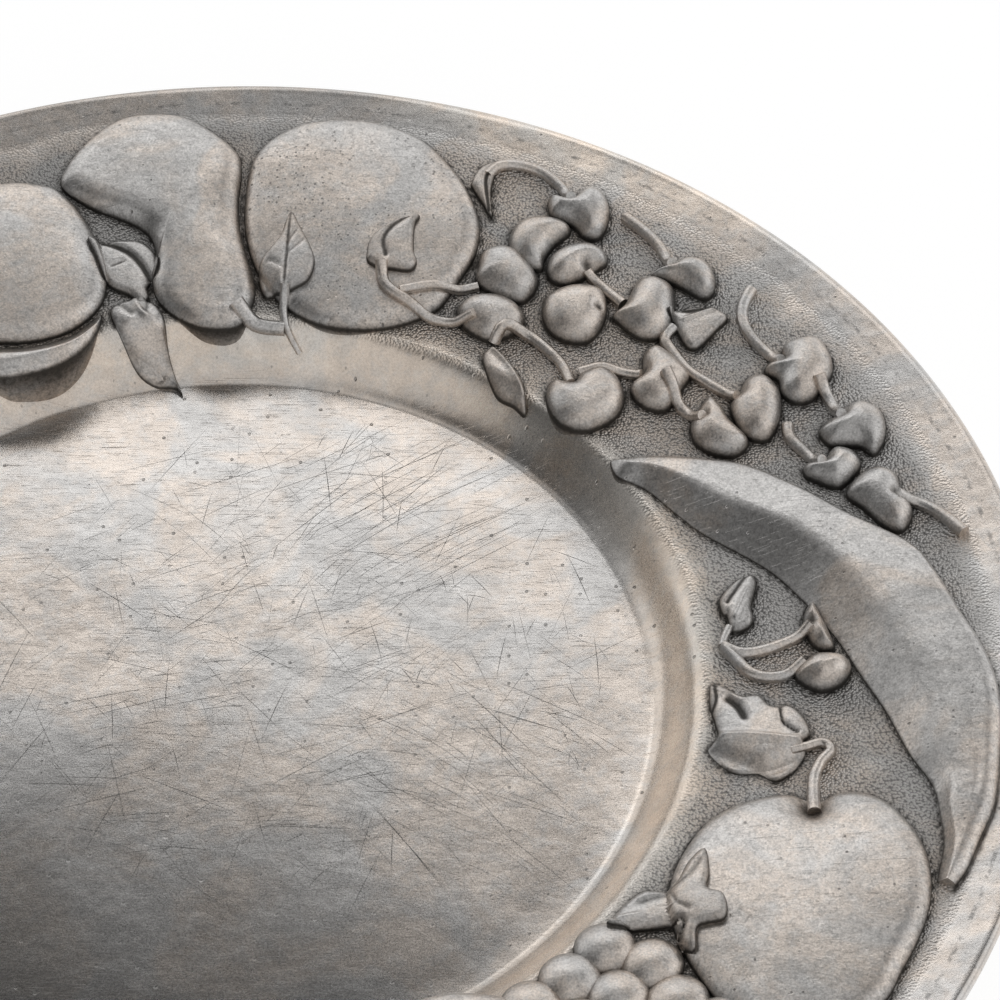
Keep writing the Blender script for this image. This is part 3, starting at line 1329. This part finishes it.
class PLATTER_OT_scratches(Operator):
    """Strew the knife marks over the well"""
    bl_idname = "platter.scratches"
    bl_label = "Scratches"

    # Place in the photograph, reach in mm, share of the count, share of the length, turns
    PATCHES = (
        ((300, 650), 80, 1.0, 0.8, -90, 90),
        ((340, 560), 38, 0.22, 1.3, 20, 60),
        ((420, 520), 22, 0.10, 1.9, 28, 42),
        ((250, 720), 40, 0.25, 0.8, -15, 30),
        ((480, 760), 34, 0.20, 1.0, -60, -20),
    )
    WELL_EDGE = 4 * MM

    def execute(self, context):
        profile = DishProfile()
        sizes = context.scene.platter_scratches
        material = scratch_pewter("scratched_pewter")
        group = scratch_tree()
        for number, patch in enumerate(self.PATCHES):
            (column, row), reach, share, stretch, lowest, highest = patch
            middle = cast_pixel(column, row, profile.wall)
            reach = min(reach * MM, profile.well - self.WELL_EDGE - middle.length)
            values = {"Count": round(sizes.count * share), "Seed": sizes.seed + 10 * number,
                      "Middle": (middle.x, middle.y, profile.wall), "Reach": reach,
                      "Length": sizes.length * stretch, "Width": sizes.width,
                      "Lowest Turn": math.radians(lowest), "Highest Turn": math.radians(highest),
                      "Material": material}
            mesh = grown("marks", group, values, bpy.data.meshes.new("marks"))
            for vertex in mesh.vertices:
                vertex.co.z += profile.unevenness(vertex.co)
            piece = linked("well_marks_%d" % (number + 1), mesh)
            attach(piece, "root")
        return {'FINISHED'}


class PLATTER_OT_stage(Operator):
    """Set the floor, the soft light and the photograph's camera"""
    bl_idname = "platter.stage"
    bl_label = "Stage"

    # The floor's half width, and how brightly and how much the camera sees its white
    FLOOR_REACH = 3.0
    FLOOR_GLOW = 1.18
    FLOOR_SEEN = 0.72

    # The studio's level, what the back adds to it, and what the left and the gap take away
    LEVEL = 0.60
    BACK = 0.26
    LEFT = 0.54
    GAP = 0.56

    # Name, place, aim, turn in degrees, width, depth and radiance
    LIGHTS = (
        ("back_light", (-0.15, 1.045, 1.00), (-0.15, 1.045, 0), -20, 0.95, 0.35, 1.42),
        ("side_light", (0.95, 0.15, 0.80), (0, 0, 0), 0, 0.6, 0.9, 0.3),
    )

    def execute(self, context):
        self.make_floor()
        self.make_world(context.scene)
        for name, place, aim, turn, width, depth, radiance in self.LIGHTS:
            lamp = self.make_light(name, Vector(place), Vector(aim), width, depth, radiance)
            lamp.rotation_euler.rotate_axis('Z', math.radians(turn))
        self.make_camera(context.scene)
        context.scene.view_settings.view_transform = 'Standard'
        return {'FINISHED'}

    def make_floor(self):
        """Lay a pale floor that the camera sees as white, with a soft shadow."""
        near, far = -self.FLOOR_REACH, self.FLOOR_REACH
        mesh = bpy.data.meshes.new("floor")
        mesh.from_pydata([(near, near, 0), (far, near, 0), (far, far, 0), (near, far, 0)],
                         [], [(0, 1, 2, 3)])
        floor = linked("floor", mesh)
        material = bpy.data.materials.new("pale_floor")
        material.use_nodes = True
        nodes = Nodes(material.node_tree)
        shader = nodes.tree.nodes["Principled BSDF"]
        shader.inputs["Base Color"].default_value = (0.9, 0.9, 0.9, 1)
        shader.inputs["Roughness"].default_value = 0.9
        ray = nodes.add("ShaderNodeLightPath", {}, {})
        seen = ray["Is Camera Ray"].most(ray["Is Glossy Ray"]).most(ray["Is Transmission Ray"])
        glow = nodes.add("ShaderNodeEmission", {},
                         {"Color": (1, 1, 1, 1), "Strength": self.FLOOR_GLOW})
        mixed = nodes.add("ShaderNodeMixShader", {},
                          {"Fac": seen * self.FLOOR_SEEN, "Shader": Wire(nodes, shader.outputs[0]),
                           "Shader_001": glow["Emission"]})
        nodes.give(nodes.tree.nodes["Material Output"].inputs["Surface"], mixed["Shader"])
        mesh.materials.append(material)

    def make_world(self, scene):
        """Light the platter from a pale studio, dark at the left and above the back light."""
        world = bpy.data.worlds.new("studio")
        scene.world = world
        world.use_nodes = True
        nodes = Nodes(world.node_tree)
        way = nodes.add("ShaderNodeTexCoord", {}, {})["Generated"]
        part = nodes.add("ShaderNodeSeparateXYZ", {}, {"Vector": way})
        back = nodes.ramp(part["Y"], -0.25, 0.45) * nodes.ramp(part["Z"], 0.72, 0.50)
        left = nodes.ramp(part["X"], -0.22, -0.52) * nodes.ramp(part["Y"], 0.50, 0.20)
        left = left * nodes.ramp(part["Y"], -0.60, -0.25)
        gap = nodes.ramp(part["Y"], 0.30, 0.48) * nodes.ramp(part["Z"], 0.70, 0.79)
        light = self.LEVEL + self.BACK * back - self.LEFT * left - self.GAP * gap
        seen = nodes.add("ShaderNodeLightPath", {}, {})["Is Camera Ray"]
        background = nodes.tree.nodes["Background"]
        nodes.give(background.inputs["Color"], nodes.grey(light.most(seen)))
        background.inputs["Strength"].default_value = 1.0

    def make_light(self, name, place, aim, width, depth, radiance):
        """Hang one soft light and turn it to its aim."""
        data = bpy.data.lights.new(name, 'AREA')
        data.shape = 'RECTANGLE'
        data.size = width
        data.size_y = depth
        data.energy = radiance * math.pi * width * depth
        lamp = linked(name, data)
        lamp.location = place
        lamp.rotation_euler = (aim - place).to_track_quat('-Z', 'Y').to_euler()
        return lamp

    def make_camera(self, scene):
        """Put the camera where the photograph was taken from."""
        data = bpy.data.cameras.new("camera")
        data.lens = CAMERA_LENS
        data.sensor_width = CAMERA_SENSOR
        camera = linked("camera", data)
        camera.location = CAMERA_PLACE
        camera.rotation_euler = (CAMERA_TILT, 0, 0)
        scene.camera = camera


class PLATTER_PT_panel(Panel):
    """Sidebar panel that lists the platter's steps"""
    bl_idname = "PLATTER_PT_panel"
    bl_label = "Pewter Platter"
    bl_space_type = 'VIEW_3D'
    bl_region_type = 'UI'
    bl_category = "Platter"

    def draw(self, context):
        for step in STEPS:
            self.layout.operator(step.bl_idname)
        for name in SETTINGS:
            group = getattr(context.scene, name)
            box = self.layout.box()
            for label in group.__annotations__:
                box.prop(group, label)


STEPS = (PLATTER_OT_large_fruit, PLATTER_OT_long_fruit, PLATTER_OT_cherries,
         PLATTER_OT_grapes, PLATTER_OT_leaves, PLATTER_OT_dish, PLATTER_OT_scratches,
         PLATTER_OT_stage)
SETTINGS = {"platter_dish": PlatterDish, "platter_finish": PlatterFinish,
            "platter_scratches": PlatterScratches}
CLASSES = (*SETTINGS.values(), *STEPS, PLATTER_PT_panel)


def register():
    """Register the classes and attach the settings to the scene."""
    for item in CLASSES:
        bpy.utils.register_class(item)
    for name, group in SETTINGS.items():
        setattr(bpy.types.Scene, name, PointerProperty(type=group))


def unregister():
    """Remove the settings and the classes."""
    for name in SETTINGS:
        delattr(bpy.types.Scene, name)
    for item in reversed(CLASSES):
        bpy.utils.unregister_class(item)


def main():
    """Dress the platter step by step."""
    register()
    for step in STEPS:
        area, name = step.bl_idname.split(".")
        getattr(getattr(bpy.ops, area), name)()


if __name__ == "__main__":
    main()
